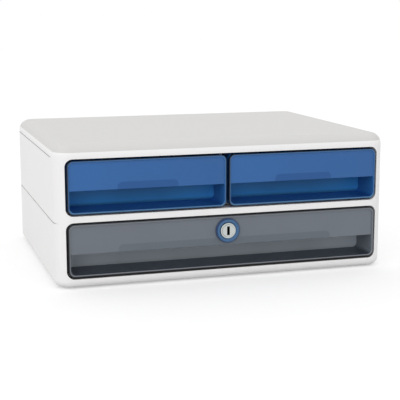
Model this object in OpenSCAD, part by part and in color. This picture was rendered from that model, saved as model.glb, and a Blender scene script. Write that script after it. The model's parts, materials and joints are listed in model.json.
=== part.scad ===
// Desktop file drawer: a white housing of two stacked shells under a pale grey top,
// two blue drawers side by side above one wide grey drawer with a lock.
// Millimetres. X runs to the right, Y to the back, Z up; the origin is on the table
// under the middle of the unit. The drawers slide along -Y, towards the user, and the
// lock turns about its own axis, which runs along Y.

/* [Housing] */
// Overall width
body_w = 362; // [320:1:420]
// Depth from the front face to the back
body_d = 278; // [262:1:330]
// Radius of the upright corners
corner_r = 18; // [15:0.5:22]
// Radius of the rounded edge round the top
top_edge_r = 12.4; // [9:0.1:14]
// Radius of the rounded edge round the bottom
base_edge_r = 7.4; // [2:0.1:8]
// Thickness of the side and back walls
wall_t = 2.8; // [2:0.1:4]
// Thickness of the lower shell's floor
floor_t = 3; // [2.4:0.1:5]
// Thickness of the shelf between the compartments
shelf_t = 2.5; // [2.2:0.1:3]
// Width of the ledge that carries the shelf
shelf_ledge_w = 2; // [1:0.1:4]
// Thickness of that ledge
shelf_ledge_t = 2; // [1.2:0.1:2.4]
// Depth of the front frame
frame_t = 6.6; // [5:0.1:9]
// Thickness of the front wall of each shell, behind the frame
flange_t = 3.4; // [2:0.1:5]

/* [Front frame] */
// Width of the frame beside the openings
post_w = 10.5; // [9:0.5:16]
// Height of the bar below the lower opening
bottom_bar_h = 9.5; // [8:0.1:14]
// Height of the bar between the openings
mid_bar_h = 6.4; // [6:0.1:10]
// Height of the bar above the upper openings
top_bar_h = 6.4; // [5.4:0.1:8]
// Height of the lower opening
lower_open_h = 58.2; // [54:0.2:80]
// Height of the upper opening
upper_open_h = 58.2; // [50:0.2:80]
// Corner radius of the openings
open_r = 8; // [5:0.5:10]
// Thickness of the collar behind each opening
collar_t = 1.6; // [1:0.1:1.7]
// Clearance round the collars in the shells
collar_gap = 0.2; // [0.1:0.05:0.3]

/* [Top and seams] */
// Height of the grey top panel
lid_h = 7.8; // [6.5:0.1:8.5]
// Thickness of the top panel's plate
lid_t = 3; // [2:0.1:4]
// Width of the top panel's edge under its plate
lid_seat_w = 9; // [8:0.5:14]
// Thickness of the ceiling plate under the top panel
ceiling_t = 2.4; // [2:0.1:2.6]
// Space between the upper opening's top edge and the ceiling plate
ceiling_gap = 2; // [1.8:0.1:2.2]
// Width of the rim's top face, which the top panel stands on
rim_top_w = 15.6; // [14.5:0.1:20]
// Number of ribs under the top panel
rib_count = 5; // [3:1:9]
// Thickness of those ribs
rib_t = 1.6; // [1.2:0.1:2.4]
// How far the ribs stay above the panel's lower edge
rib_rise = 1.6; // [1:0.1:3]
// Height of the white rim above the upper seam
rim_h = 6.5; // [6:0.1:6.6]
// How far the middle seam lies below the middle bar
mid_seam_drop = 1.2; // [0.8:0.1:3]
// Depth of the seam grooves
seam_d = 0.6; // [0.3:0.1:1]
// Height of the seam grooves
seam_h = 0.8; // [0.4:0.1:1.2]
// Distance from the front face to where the upper groove starts
top_seam_start = 25.7; // [12:0.1:60]

/* [Drawers] */
// Visible gap round each drawer front
reveal = 2; // [1.5:0.1:2.5]
// Visible gap between the two upper drawers
twin_gap = 3; // [2.6:0.1:5]
// Thickness of the raised edge round each drawer front
edge_t = 2; // [1.5:0.1:3]
// Setback of the flap behind that edge
flap_set = 1.2; // [0.5:0.1:2]
// Thickness of the flap
flap_t = 2.5; // [2:0.1:4]
// Height of the finger gap under the flap, from the drawer's underside
finger_h = 23.5; // [20:0.5:25]
// Depth of the finger recess
recess_d = 38; // [34:0.5:50]
// Height of the thinned grip behind the flap's lower edge
scoop_h = 7.7; // [5:0.1:10]
// Width of the grip on an upper drawer
upper_scoop_w = 64; // [40:1:90]
// Width of the grip on the lower drawer
lower_scoop_w = 234; // [120:1:260]
// Corner radius of the grips
scoop_r = 5; // [3:0.5:5]
// Plastic left in front of a grip
scoop_skin = 1.3; // [0.8:0.1:1.6]
// Thickness of the wall behind the finger recess
recess_wall_t = 2; // [1.5:0.1:3]
// Thickness of the tray walls
tray_t = 1.8; // [1.5:0.1:2.5]
// Thickness of the tray floors
tray_floor_t = 2; // [1.5:0.1:3]
// How far the tray sides stand in from the front's sides
tray_inset = 1; // [0.8:0.1:2]
// How far the tray walls stay below the front's top edge
tray_drop = 3.7; // [3:0.1:6]
// Corner radius of the trays
tray_r = 6; // [4:0.5:8]
// Space behind a closed drawer
back_gap = 7; // [5:0.5:12]
// How far the drawers pull out
travel = 200; // [120:1:204]

/* [Runners and stops] */
// Width of the runner under the tray
runner_foot_w = 11; // [8:0.5:16]
// Height of the runner's side guide above the drawer's underside
guide_h = 13; // [10:0.5:20]
// Gap between a tray and what it slides on
glide_gap = 0.3; // [0.2:0.05:0.5]
// Gap between a drawer's front and its side guides
guide_gap = 0.8; // [0.5:0.1:1.2]
// Thickness of the divider between the upper drawers
divider_t = 2.6; // [2:0.1:3]
// Half width of the divider's foot
divider_foot_w = 12; // [8:0.5:20]
// Distance from the front face to the divider
divider_start = 24; // [14:1:36]
// Width of a drawer stop
stop_w = 24; // [16:1:40]
// Thickness of a drawer stop
stop_t = 3; // [2:0.1:4]
// How far a stop reaches below a tray's top edge
stop_lap = 1.5; // [1:0.1:2.5]
// Length of a stop's foot
stop_foot = 12; // [8:0.5:16]
// Thickness of a stop's foot
stop_foot_t = 1.6; // [1.2:0.1:2]
// Distance from a runner's ends to its screws
runner_inset = 30; // [15:1:60]
// Height of the runner screws above the drawer's underside
runner_screw_z = 8; // [6:0.1:8.5]
// Diameter of the runner screws
runner_screw_d = 3; // [2.5:0.1:3.5]
// Diameter of their heads
runner_head_d = 5.4; // [4.8:0.1:6]
// Depth of the recesses for their heads
runner_head_t = 2; // [1.6:0.1:2.6]
// How deep the runner screws go into the side walls
runner_screw_bite = 2; // [1.4:0.1:2]

/* [Lock] */
// Outer diameter of the blue ring
ring_d = 26; // [24:0.5:27]
// How far the ring stands in front of the drawers
ring_proud = 2.4; // [1:0.1:4]
// Width of the step round the outside of the ring
ring_step_w = 1.1; // [0.6:0.1:1.4]
// How far that step lies behind the ring's front
ring_step_d = 1.2; // [0.5:0.1:1.3]
// Width of the ring's flat front band, inside the step
ring_band = 2.2; // [1.6:0.1:2.4]
// Depth of the bevel inside that band
ring_bevel = 1.4; // [0.8:0.1:1.8]
// How far the barrel's face lies behind the ring's
barrel_set = 0.4; // [0.3:0.1:1]
// Diameter of the lock barrel
barrel_d = 16.5; // [15:0.1:17]
// Length of the barrel behind the drawer front
barrel_l = 22; // [18:0.5:24]
// Extra radius of the barrel's flange
barrel_flange = 1.3; // [1:0.1:1.5]
// Thickness of the barrel's flange
barrel_flange_t = 1.2; // [0.8:0.1:1.4]
// Diameter of the turning plug
plug_d = 13; // [12:0.1:13.5]
// Running clearance round the plug, on the radius
plug_fit = 0.05; // [0.02:0.01:0.1]
// How far the plug stands out of the barrel at both ends
plug_proud = 0.3; // [0.1:0.1:0.3]
// Clearance between the barrel and the pieces round it, on the radius
barrel_fit = 0.15; // [0.05:0.05:0.25]
// Width of the key slot
key_w = 2.9; // [2:0.1:3]
// Height of the key slot
key_h = 9.4; // [7:0.1:10]
// Depth of the key slot
key_d = 9; // [5:0.5:12]
// Side of the square tail that turns the cam
tail_w = 7; // [6:0.1:8]
// Clearance between the tail and the cam's square hole
tail_fit = 0.05; // [0.02:0.01:0.1]
// How far the tail stands out behind the cam
tail_proud = 0.2; // [0.1:0.1:0.5]
// Diameter of the cam screw's head
cam_screw_d = 10.4; // [9.6:0.1:10.8]
// Height of the cam screw's head
cam_screw_t = 2.4; // [1.6:0.1:3]
// Distance from the lock's axis to the cam's tip
cam_reach = 20; // [19:0.1:20.6]
// Width of the cam
cam_w = 12; // [10:0.5:13]
// Thickness of the cam
cam_t = 2; // [1.5:0.1:3]
// Play of the cam in the strike, each way
cam_gap = 1; // [0.6:0.1:1.5]
// Play of the cam beside it, in the strike and in the drawer's top edge
cam_side_gap = 0.8; // [0.5:0.1:1.2]
// Gap between the barrel's end and the cam
cam_space = 0.6; // [0.5:0.1:1]
// Wall in front of and behind the strike's slot
strike_wall = 4; // [3:0.5:6]
// Length of the strike
strike_l = 52; // [48:1:70]
// Distance from the strike's ends to its screws
strike_screw_inset = 5; // [4:0.1:6]
// Diameter of the strike's screws
strike_screw_d = 2.8; // [2.4:0.1:3.2]
// Diameter of their heads
strike_head_d = 5; // [4.6:0.1:5.6]
// Height of their heads
strike_head_t = 1.6; // [1.2:0.1:2]
// Plastic left above those screws in the shelf
strike_skin = 0.5; // [0.3:0.1:0.8]
// Gap between the strike and the closed drawer
strike_gap = 1.5; // [1:0.1:1.8]
// Width across the flats of the barrel's nut
nut_w = 20; // [19:0.5:22]
// Thickness of the nut
nut_t = 4; // [3:0.5:6]

/* [Feet and screws] */
// Diameter of the rubber feet
foot_d = 16; // [10:0.5:24]
// Height of the feet under the housing
foot_proud = 1.2; // [1:0.1:4]
// Depth of the feet's recesses
foot_sunk = 1; // [0.5:0.1:1.4]
// Distance from the sides to the feet's centres
foot_inset = 32; // [28:0.5:60]
// Radius of the screw columns in the corners
column_r = 4.2; // [4:0.1:4.6]
// Distance from the rear columns to the back wall
column_rear_gap = 9; // [6:0.5:14]
// Gap between the columns and what stands beside them
column_gap = 1.5; // [1:0.1:2.5]
// Diameter of the screw shanks
screw_d = 3.4; // [3:0.1:3.8]
// Diameter of the screw heads
screw_head_d = 6.4; // [5.6:0.1:6.8]
// Height of the screw heads
screw_head_t = 1.6; // [1.2:0.1:1.7]
// How far the base screws' heads lie inside the underside
base_screw_sink = 1; // [0.8:0.1:1.2]
// How deep a screw goes into the next piece
screw_bite = 12; // [8:0.5:20]
// Clearance between a screw and the hole that it bites in, on the radius
screw_fit = 0.05; // [0.02:0.01:0.2]
// Clearance between a screw and the hole that it passes through, on the radius
screw_pass = 0.1; // [0.05:0.01:0.25]
// Space left in front of a screw's tip
screw_tip_gap = 1; // [0.5:0.1:2]
// Clearance round the feet and the screw heads, on the radius
seat_fit = 0.3; // [0.1:0.05:0.4]

/* [Hidden] */
$fn = 64;

// Slack for cuts, so that no cut ends on a face
cut = 1;

// Colours as the photograph shows them
white_c = [0.93, 0.925, 0.915];
top_c = [0.85, 0.85, 0.84];
blue_c = [0.16, 0.36, 0.62, 0.85];
grey_c = [0.42, 0.45, 0.49, 0.8];
ring_c = [0.22, 0.40, 0.66];
metal_c = [0.80, 0.80, 0.79];
steel_c = [0.62, 0.63, 0.65];
rubber_c = [0.12, 0.12, 0.13];

// Front to back: the lock ring counts in the overall depth, which is centred
front_y = ring_proud / 2 - body_d / 2;
back_y = front_y + body_d;
mid_y = (front_y + back_y) / 2;
inner_half_w = body_w / 2 - wall_t;
shell_y = front_y + frame_t;
inside_y = shell_y + flange_t;

// Heights above the table
base_z = foot_proud;
lower_z0 = base_z + bottom_bar_h;
lower_z1 = lower_z0 + lower_open_h;
upper_z0 = lower_z1 + mid_bar_h;
upper_z1 = upper_z0 + upper_open_h;
lid_z = upper_z1 + top_bar_h;
top_z = lid_z + lid_h;
mid_seam_z = lower_z1 - mid_seam_drop;
top_seam_z = lid_z - rim_h;
floor_z = base_z + floor_t;
shelf_z = upper_z0 - shelf_t;
ceiling_z = upper_z1 + ceiling_gap;

// Openings and drawer fronts, as spans across X
open_half_w = body_w / 2 - post_w;
front_half_w = open_half_w - reveal;
left_span = [-front_half_w, -twin_gap / 2];
right_span = [twin_gap / 2, front_half_w];
lower_span = [-front_half_w, front_half_w];
front_r = open_r - reveal;
front_inner_r = front_r - edge_t / 2;

// Drawers, from their undersides up and from the front back
lower_drawer_z0 = lower_z0 + reveal;
lower_drawer_z1 = lower_z1 - reveal;
upper_drawer_z0 = upper_z0 + reveal;
upper_drawer_z1 = upper_z1 - reveal;
tray_y = front_y + recess_d;
tray_inside_y = tray_y + recess_wall_t;
tray_side_y = tray_y + recess_wall_t / 2;
drawer_end_y = back_y - wall_t - back_gap;
tray_end_inside_y = drawer_end_y - tray_t;
tray_half_w = front_half_w - tray_inset;
guide_half_w = front_half_w + guide_gap;

// Columns for the screws that hold the shells together, clear of trays and runners
column_x = guide_half_w + column_r;
column_front_y = inside_y + column_r + column_gap;
column_rear_y = back_y - wall_t - column_r - column_rear_gap;
column_places = [for (sx = [-1, 1], y = [column_front_y, column_rear_y]) [sx * column_x, y]];
runner_y0 = column_front_y + column_r + column_gap;
runner_y1 = column_rear_y - column_r - column_gap;
runner_screw_places = [runner_y0 + runner_inset, runner_y1 - runner_inset];

// Lock: its axis lies in the middle of the lower drawer's flap
flap_y = front_y + flap_set;
flap_back_y = flap_y + flap_t;
lower_flap_z = lower_drawer_z0 + finger_h;
lock_z = (lower_flap_z + lower_drawer_z1) / 2;
lock_y = front_y - ring_proud;
plug_r = plug_d / 2 - plug_fit;
barrel_y = lock_y + barrel_set;
barrel_end_y = front_y + barrel_l;
barrel_hole_r = barrel_d / 2 + barrel_fit;
cam_y = barrel_end_y + cam_space;
tail_end_y = cam_y + cam_t + tail_proud;
strike_y = cam_y - cam_gap - strike_wall;
strike_d = cam_t + 2 * cam_gap + 2 * strike_wall;
strike_z = lower_drawer_z1 + strike_gap;
strike_mid_y = strike_y + strike_d / 2;
strike_screw_x = strike_l / 2 - strike_screw_inset;
strike_screw_end_z = upper_z0 - strike_skin;

// Left end of the slot that the turning cam needs at a height above the lock's axis
function sweep_x(rise) = -sqrt(max(cam_reach * cam_reach - rise * rise, cam_w * cam_w / 4))
    - cam_side_gap;

// Drawer stops: a stop meets the tray's back wall when the drawer is out
stop_y = tray_end_inside_y - travel - glide_gap;

// ---------------------------------------------------------------- shapes

// Rectangle with round corners between two corner points
module round_rect(lo, hi, r) {
    union() {
        translate([lo[0] + r, lo[1]]) square([hi[0] - lo[0] - 2 * r, hi[1] - lo[1]]);
        translate([lo[0], lo[1] + r]) square([hi[0] - lo[0], hi[1] - lo[1] - 2 * r]);
        for (x = [lo[0] + r, hi[0] - r], y = [lo[1] + r, hi[1] - r]) {
            translate([x, y]) circle(r);
        }
    }
}

// Extrudes an outline drawn in X and Z from one depth to another
module across_front(y0, y1) {
    translate([0, y1, 0]) rotate([90, 0, 0]) linear_extrude(y1 - y0) children();
}

// Extrudes an outline drawn in X and Y from one height to another
module upwards(z0, z1) {
    translate([0, 0, z0]) linear_extrude(z1 - z0) children();
}

// Cylinder along Y with its centre at a place in X and Z
module rod_y(x, z, r, y0, y1) {
    translate([x, y1, z]) rotate([90, 0, 0]) cylinder(r = r, h = y1 - y0);
}

// Block between two corner points
module block(lo, hi) {
    translate(lo) cube([hi[0] - lo[0], hi[1] - lo[1], hi[2] - lo[2]]);
}

// ---------------------------------------------------------------- housing

// Upright section through one side of the housing, from 0 out to the wall's face
module side_section(reach) {
    difference() {
        translate([0, base_z]) square([reach, top_z - base_z]);
        translate([reach - top_edge_r, top_z - top_edge_r]) difference() {
            square(top_edge_r + cut);
            circle(top_edge_r);
        }
        translate([reach - base_edge_r, base_z - cut]) difference() {
            square(base_edge_r + cut);
            translate([0, base_edge_r + cut]) circle(base_edge_r);
        }
    }
}

// The same section on both sides of the middle
module full_section(reach) {
    side_section(reach);
    mirror([1, 0]) side_section(reach);
}

// Outer form of the whole housing, with its round corners and edges
module outer_form() {
    flat_w = body_w - 2 * corner_r;
    flat_d = body_d - 2 * corner_r;
    translate([0, mid_y, 0]) union() {
        translate([-flat_w / 2, 0, 0]) rotate([90, 0, 90]) linear_extrude(flat_w)
            full_section(body_d / 2);
        translate([0, flat_d / 2, 0]) rotate([90, 0, 0]) linear_extrude(flat_d)
            full_section(body_w / 2);
        for (i = [0:3]) {
            sx = (i == 0 || i == 3) ? 1 : -1;
            sy = i < 2 ? 1 : -1;
            translate([sx * flat_w / 2, sy * flat_d / 2, 0]) rotate([0, 0, 90 * i])
                rotate_extrude(angle = 90) side_section(corner_r);
        }
    }
}

// Part of the outer form between two depths and two heights
module outer_slice(y0, y1, z0, z1) {
    intersection() {
        outer_form();
        block([-body_w, y0, z0], [body_w, y1, z1]);
    }
}

// Plan of the housing, drawn in from its outer face
module plan(inset) {
    round_rect([-body_w / 2 + inset, front_y + inset], [body_w / 2 - inset, back_y - inset],
        max(corner_r - inset, 1));
}

// Plan of the space inside the walls, drawn in from them
module clear_plan(inset) {
    intersection() {
        plan(wall_t + inset);
        translate([-body_w, inside_y + inset]) square([2 * body_w, body_d]);
    }
}

// The same plan with the screw columns left standing
module inside_plan() {
    difference() {
        clear_plan(0);
        for (p = column_places) {
            translate(p) circle(column_r);
            translate([p[0] > 0 ? p[0] : p[0] - body_w, p[1] - column_r / 2])
                square([body_w, column_r]);
        }
    }
}

// Opening outlines in the front, enlarged all round
module lower_opening(grow) {
    round_rect([-open_half_w - grow, lower_z0 - grow], [open_half_w + grow, lower_z1 + grow],
        open_r + grow);
}
module upper_opening(grow) {
    round_rect([-open_half_w - grow, upper_z0 - grow], [open_half_w + grow, upper_z1 + grow],
        open_r + grow);
}

// Room for the frame's collars in the front walls of the shells
module collar_room() {
    across_front(shell_y - cut, inside_y + cut) {
        lower_opening(collar_t + collar_gap);
        upper_opening(collar_t + collar_gap);
    }
}

// Groove all round the outside, from one depth back
module seam_groove(z, start) {
    intersection() {
        upwards(z - seam_h / 2, z + seam_h / 2) difference() {
            plan(-cut);
            plan(seam_d);
        }
        block([-body_w, front_y + start, base_z], [body_w, back_y + cut, top_z]);
    }
}

module front_frame() {
    color(white_c) {
        difference() {
            outer_slice(front_y - cut, shell_y, base_z - cut, lid_z);
            across_front(front_y - cut, shell_y + cut) {
                lower_opening(0);
                upper_opening(0);
            }
        }
        across_front(shell_y, inside_y) {
            difference() {
                lower_opening(collar_t);
                lower_opening(0);
            }
            difference() {
                upper_opening(collar_t);
                upper_opening(0);
            }
        }
    }
}

module lower_housing() {
    color(white_c) difference() {
        outer_slice(shell_y, back_y + cut, base_z - cut, mid_seam_z);
        upwards(floor_z, mid_seam_z + cut) inside_plan();
        collar_room();
        seam_groove(mid_seam_z, frame_t);
        foot_places() cylinder(d = foot_d + 2 * seat_fit, h = foot_sunk + foot_proud);
        for (p = column_places) {
            translate([p[0], p[1], base_z - cut]) {
                cylinder(d = screw_d + 2 * screw_pass, h = mid_seam_z);
                cylinder(d = screw_head_d + 2 * seat_fit, h = cut + base_screw_sink + screw_head_t);
            }
        }
        runner_screw_holes(lower_drawer_z0);
    }
}

// Room inside the ledge under the shelf, with the screw columns left standing
module ledge_opening() {
    intersection() {
        clear_plan(shelf_ledge_w);
        inside_plan();
    }
}

module upper_housing() {
    color(white_c) difference() {
        outer_slice(shell_y, back_y + cut, mid_seam_z, top_seam_z);
        upwards(shelf_z, top_seam_z + cut) inside_plan();
        upwards(mid_seam_z - cut, shelf_z - shelf_ledge_t) inside_plan();
        upwards(mid_seam_z - cut, shelf_z + cut) ledge_opening();
        collar_room();
        seam_groove(mid_seam_z, frame_t);
        seam_groove(top_seam_z, top_seam_start);
        for (p = column_places) {
            translate([p[0], p[1], mid_seam_z - cut])
                cylinder(d = screw_d + 2 * screw_fit, h = screw_bite + cut);
            translate([p[0], p[1], top_seam_z - screw_bite])
                cylinder(d = screw_d + 2 * screw_fit, h = screw_bite + cut);
        }
        runner_screw_holes(upper_drawer_z0);
    }
}

// Shelf between the compartments: it lies on the upper shell's ledge, under the runners
module shelf() {
    color(white_c) difference() {
        upwards(shelf_z, upper_z0) inside_plan();
        for (x = [-strike_screw_x, strike_screw_x]) {
            translate([x, strike_mid_y, shelf_z - cut])
                cylinder(d = strike_screw_d + 2 * screw_fit, h = strike_screw_end_z - shelf_z + cut);
        }
    }
}

module top_frame() {
    color(white_c) difference() {
        outer_slice(shell_y, back_y + cut, top_seam_z, lid_z);
        upwards(top_seam_z - cut, ceiling_z) inside_plan();
        upwards(ceiling_z + ceiling_t, lid_z + cut) plan(rim_top_w);
        collar_room();
        seam_groove(top_seam_z, top_seam_start);
        for (p = column_places) {
            translate([p[0], p[1], top_seam_z - cut])
                cylinder(d = screw_d + 2 * screw_pass, h = rim_h + 2 * cut);
            translate([p[0], p[1], ceiling_z + ceiling_t])
                cylinder(d = screw_head_d + 2 * seat_fit, h = rim_h);
        }
    }
}

module top_panel() {
    color(top_c) union() {
        difference() {
            outer_slice(front_y - cut, back_y + cut, lid_z, top_z + cut);
            upwards(lid_z - cut, top_z - lid_t) plan(lid_seat_w);
        }
        // Stiffening ribs under the plate
        for (i = [1:rib_count]) {
            x = body_w * (i / (rib_count + 1) - 1 / 2);
            block([x - rib_t / 2, front_y + lid_seat_w - cut, lid_z + rib_rise],
                [x + rib_t / 2, back_y - lid_seat_w + cut, top_z - lid_t + cut]);
        }
    }
}

module centre_divider() {
    color(white_c) union() {
        block([-divider_foot_w, front_y + divider_start, upper_z0],
            [divider_foot_w, drawer_end_y, upper_drawer_z0 - glide_gap]);
        block([-divider_t / 2, front_y + divider_start, upper_z0],
            [divider_t / 2, drawer_end_y, ceiling_z]);
    }
}

// Runner on the right-hand side: a foot under the tray and a guide beside it
module runner(seat_z, drawer_z) {
    difference() {
        union() {
            block([tray_half_w - runner_foot_w, runner_y0, seat_z],
                [inner_half_w, runner_y1, drawer_z - glide_gap]);
            block([guide_half_w, runner_y0, seat_z],
                [inner_half_w, runner_y1, drawer_z + guide_h]);
        }
        for (y = runner_screw_places) {
            translate([guide_half_w - cut, y, drawer_z + runner_screw_z]) rotate([0, 90, 0]) {
                cylinder(d = runner_screw_d + 2 * screw_pass, h = body_w);
                cylinder(d = runner_head_d + 2 * seat_fit, h = cut + runner_head_t);
            }
        }
    }
}

module lower_runner_right() {
    color(white_c) runner(floor_z, lower_drawer_z0);
}
module lower_runner_left() {
    color(white_c) mirror([1, 0, 0]) runner(floor_z, lower_drawer_z0);
}
module upper_runner_right() {
    color(white_c) runner(upper_z0, upper_drawer_z0);
}
module upper_runner_left() {
    color(white_c) mirror([1, 0, 0]) runner(upper_z0, upper_drawer_z0);
}

// Pilot holes for the runner screws in the side walls
module runner_screw_holes(drawer_z) {
    for (side = [0, 1], y = runner_screw_places) {
        mirror([side, 0, 0]) translate([inner_half_w - cut, y, drawer_z + runner_screw_z])
            rotate([0, 90, 0])
                cylinder(d = runner_screw_d + 2 * screw_fit, h = runner_screw_bite + cut);
    }
}

module runner_screws() {
    seat_x = guide_half_w + runner_head_t;
    head_t = runner_head_t - seat_fit;
    color(steel_c) for (side = [0, 1], z = [lower_drawer_z0, upper_drawer_z0],
        y = runner_screw_places) {
        mirror([side, 0, 0]) translate([seat_x, y, z + runner_screw_z]) rotate([0, 90, 0]) {
            cylinder(d = runner_screw_d, h = inner_half_w + runner_screw_bite - seat_x);
            translate([0, 0, -head_t]) cylinder(d = runner_head_d, h = head_t);
        }
    }
}

// Stop under a ceiling: a foot against it and a tongue down into the tray
module drawer_stop(x, seat_z, tray_top_z) {
    color(white_c) union() {
        block([x - stop_w / 2, stop_y - stop_foot, seat_z - stop_foot_t],
            [x + stop_w / 2, stop_y, seat_z]);
        block([x - stop_w / 2, stop_y - stop_t, tray_top_z - stop_lap],
            [x + stop_w / 2, stop_y, seat_z]);
    }
}

module lower_drawer_stop() {
    drawer_stop(0, shelf_z, lower_drawer_z1 - tray_drop);
}
module left_drawer_stop() {
    drawer_stop((left_span[0] + left_span[1]) / 2, ceiling_z, upper_drawer_z1 - tray_drop);
}
module right_drawer_stop() {
    drawer_stop((right_span[0] + right_span[1]) / 2, ceiling_z, upper_drawer_z1 - tray_drop);
}

// Feet in the four corners of the underside
module foot_places() {
    for (x = [-body_w / 2 + foot_inset, body_w / 2 - foot_inset],
        y = [front_y + foot_inset, back_y - foot_inset]) {
        translate([x, y, 0]) children();
    }
}

module rubber_feet() {
    color(rubber_c) foot_places() cylinder(d = foot_d, h = foot_proud + foot_sunk);
}

module base_screws() {
    head_z = base_z + base_screw_sink;
    color(steel_c) for (p = column_places) {
        translate([p[0], p[1], head_z]) {
            cylinder(d = screw_head_d, h = screw_head_t);
            cylinder(d = screw_d, h = mid_seam_z - head_z + screw_bite - screw_tip_gap);
        }
    }
}

module rim_screws() {
    tip_z = top_seam_z - screw_bite + screw_tip_gap;
    seat_z = ceiling_z + ceiling_t;
    color(steel_c) for (p = column_places) {
        translate([p[0], p[1], tip_z]) cylinder(d = screw_d, h = seat_z - tip_z);
        translate([p[0], p[1], seat_z])
            cylinder(d = screw_head_d, h = min(screw_head_t, lid_z - seat_z));
    }
}

// ---------------------------------------------------------------- drawers

// Drawer front: an open frame as deep as the finger recess, with the flap across its top
module drawer_front(span, z0, z1, scoop_w) {
    flap_z = z0 + finger_h;
    scoop_x = (span[0] + span[1]) / 2;
    difference() {
        union() {
            across_front(front_y, tray_y) difference() {
                round_rect([span[0], z0], [span[1], z1], front_r);
                round_rect([span[0] + edge_t, z0 + edge_t], [span[1] - edge_t, z1 - edge_t],
                    front_inner_r);
            }
            across_front(flap_y, flap_back_y) intersection() {
                round_rect([span[0] + edge_t / 2, z0 + edge_t / 2],
                    [span[1] - edge_t / 2, z1 - edge_t / 2], front_r - edge_t / 2);
                translate([span[0], flap_z]) square([span[1] - span[0], z1 - flap_z]);
            }
        }
        across_front(flap_y + scoop_skin, flap_back_y + cut)
            round_rect([scoop_x - scoop_w / 2, flap_z - 2 * scoop_r],
                [scoop_x + scoop_w / 2, flap_z + scoop_h], scoop_r);
    }
}

// Tray: a front wall that closes the recess, and the box behind it
module drawer_tray(span, z0, z1) {
    top_z = z1 - tray_drop;
    difference() {
        union() {
            across_front(tray_y, tray_inside_y)
                round_rect([span[0], z0], [span[1], z1], front_r);
            upwards(z0, top_z)
                round_rect([span[0] + tray_inset, tray_side_y],
                    [span[1] - tray_inset, drawer_end_y], tray_r);
            upwards(z0, top_z) translate([span[0] + tray_inset, tray_side_y])
                square([span[1] - span[0] - 2 * tray_inset, 2 * tray_r]);
        }
        upwards(z0 + tray_floor_t, z1 + cut)
            round_rect([span[0] + tray_inset + tray_t, tray_inside_y],
                [span[1] - tray_inset - tray_t, tray_end_inside_y], tray_r - tray_t);
    }
}

module left_front() {
    color(blue_c) drawer_front(left_span, upper_drawer_z0, upper_drawer_z1, upper_scoop_w);
}
module left_tray() {
    color(blue_c) drawer_tray(left_span, upper_drawer_z0, upper_drawer_z1);
}
module right_front() {
    color(blue_c) drawer_front(right_span, upper_drawer_z0, upper_drawer_z1, upper_scoop_w);
}
module right_tray() {
    color(blue_c) drawer_tray(right_span, upper_drawer_z0, upper_drawer_z1);
}
module lower_tray() {
    color(grey_c) drawer_tray(lower_span, lower_drawer_z0, lower_drawer_z1);
}

// The lower front also has the hole for the lock and the slot for its cam
module lower_front() {
    color(grey_c) difference() {
        drawer_front(lower_span, lower_drawer_z0, lower_drawer_z1, lower_scoop_w);
        rod_y(0, lock_z, barrel_hole_r, front_y - cut, flap_back_y + cut);
        block([sweep_x(lower_drawer_z1 - edge_t - lock_z), cam_y - cam_gap,
                lower_drawer_z1 - edge_t - cut],
            [cam_w / 2 + cam_side_gap, cam_y + cam_t + cam_gap, lower_drawer_z1 + cut]);
    }
}

// ---------------------------------------------------------------- lock

// Blue ring on the flap: a step outside, a flat band and a bevel down to the barrel
module lock_ring() {
    band_r = ring_d / 2 - ring_step_w;
    flat_r = band_r - ring_band;
    slope = (flat_r - barrel_hole_r) / ring_bevel;
    depth = flap_y - lock_y;
    color(ring_c) translate([0, flap_y, lock_z]) rotate([90, 0, 0]) difference() {
        union() {
            cylinder(r = band_r, h = depth);
            cylinder(r = ring_d / 2, h = depth - ring_step_d);
        }
        translate([0, 0, -cut]) cylinder(r = barrel_hole_r, h = depth + 2 * cut);
        translate([0, 0, depth - ring_bevel])
            cylinder(r1 = barrel_hole_r, r2 = flat_r + slope * cut, h = ring_bevel + cut);
        translate([0, 0, -cut])
            cylinder(r = barrel_hole_r + barrel_flange, h = barrel_flange_t + barrel_fit + cut);
    }
}

module lock_barrel() {
    color(metal_c) difference() {
        union() {
            rod_y(0, lock_z, barrel_d / 2, barrel_y, barrel_end_y);
            rod_y(0, lock_z, barrel_d / 2 + barrel_flange, flap_y - barrel_flange_t, flap_y);
        }
        rod_y(0, lock_z, plug_d / 2, barrel_y - cut, barrel_end_y + cut);
    }
}

module lock_nut() {
    color(steel_c) difference() {
        translate([0, flap_back_y + nut_t, lock_z]) rotate([90, 0, 0])
            cylinder(d = nut_w / cos(30), h = nut_t, $fn = 6);
        rod_y(0, lock_z, barrel_hole_r, flap_back_y - cut, flap_back_y + nut_t + cut);
    }
}

module lock_plug() {
    color(metal_c) difference() {
        union() {
            rod_y(0, lock_z, plug_r, barrel_y - plug_proud, barrel_end_y + plug_proud);
            block([-tail_w / 2, barrel_end_y, lock_z - tail_w / 2],
                [tail_w / 2, tail_end_y, lock_z + tail_w / 2]);
        }
        block([-key_w / 2, barrel_y - cut, lock_z - key_h / 2],
            [key_w / 2, barrel_y + key_d, lock_z + key_h / 2]);
    }
}

// Cam: points left with the lock open, and turns up into the strike
module lock_cam() {
    color(steel_c) difference() {
        union() {
            rod_y(cam_w / 2 - cam_reach, lock_z, cam_w / 2, cam_y, cam_y + cam_t);
            rod_y(0, lock_z, cam_w / 2, cam_y, cam_y + cam_t);
            block([cam_w / 2 - cam_reach, cam_y, lock_z - cam_w / 2],
                [0, cam_y + cam_t, lock_z + cam_w / 2]);
        }
        block([-tail_w / 2 - tail_fit, cam_y - cut, lock_z - tail_w / 2 - tail_fit],
            [tail_w / 2 + tail_fit, cam_y + cam_t + cut, lock_z + tail_w / 2 + tail_fit]);
    }
}

module cam_screw() {
    color(steel_c) rod_y(0, lock_z, cam_screw_d / 2, tail_end_y, tail_end_y + cam_screw_t);
}

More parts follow.
